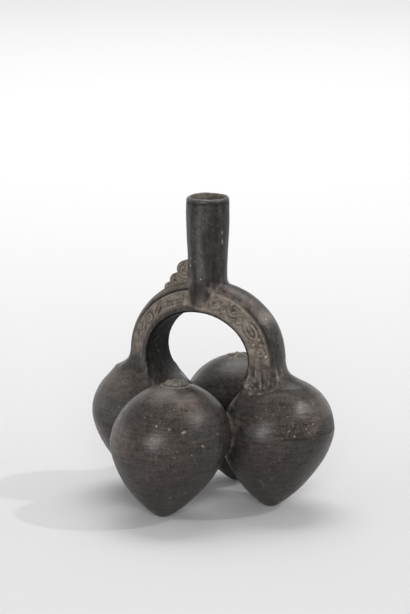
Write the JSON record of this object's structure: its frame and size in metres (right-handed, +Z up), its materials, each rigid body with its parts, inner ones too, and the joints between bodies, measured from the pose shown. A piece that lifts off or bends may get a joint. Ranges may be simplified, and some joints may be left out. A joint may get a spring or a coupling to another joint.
{
  "type": "stirrup-spout bottle",
  "caption": "Hollow blackware bottle of joined pointed fruits under a relief-carved stirrup handle with an upright tubular spout and a scalloped crest.",
  "frame": {"origin": "middle of the footprint box, on the surface that the fruit tips stand on", "axes": "+Z up along the spout, +X along the stirrup's plane to the right leg, -Y towards the front fruit"},
  "size_m": [0.1778, 0.1804, 0.21],
  "materials": {
    "blackware": "burnished reduction-fired clay, worn and dusty in the relief"
  },
  "bodies": {
    "root": {"stirrup_bottle": "blackware"}
  },
  "joints": []
}
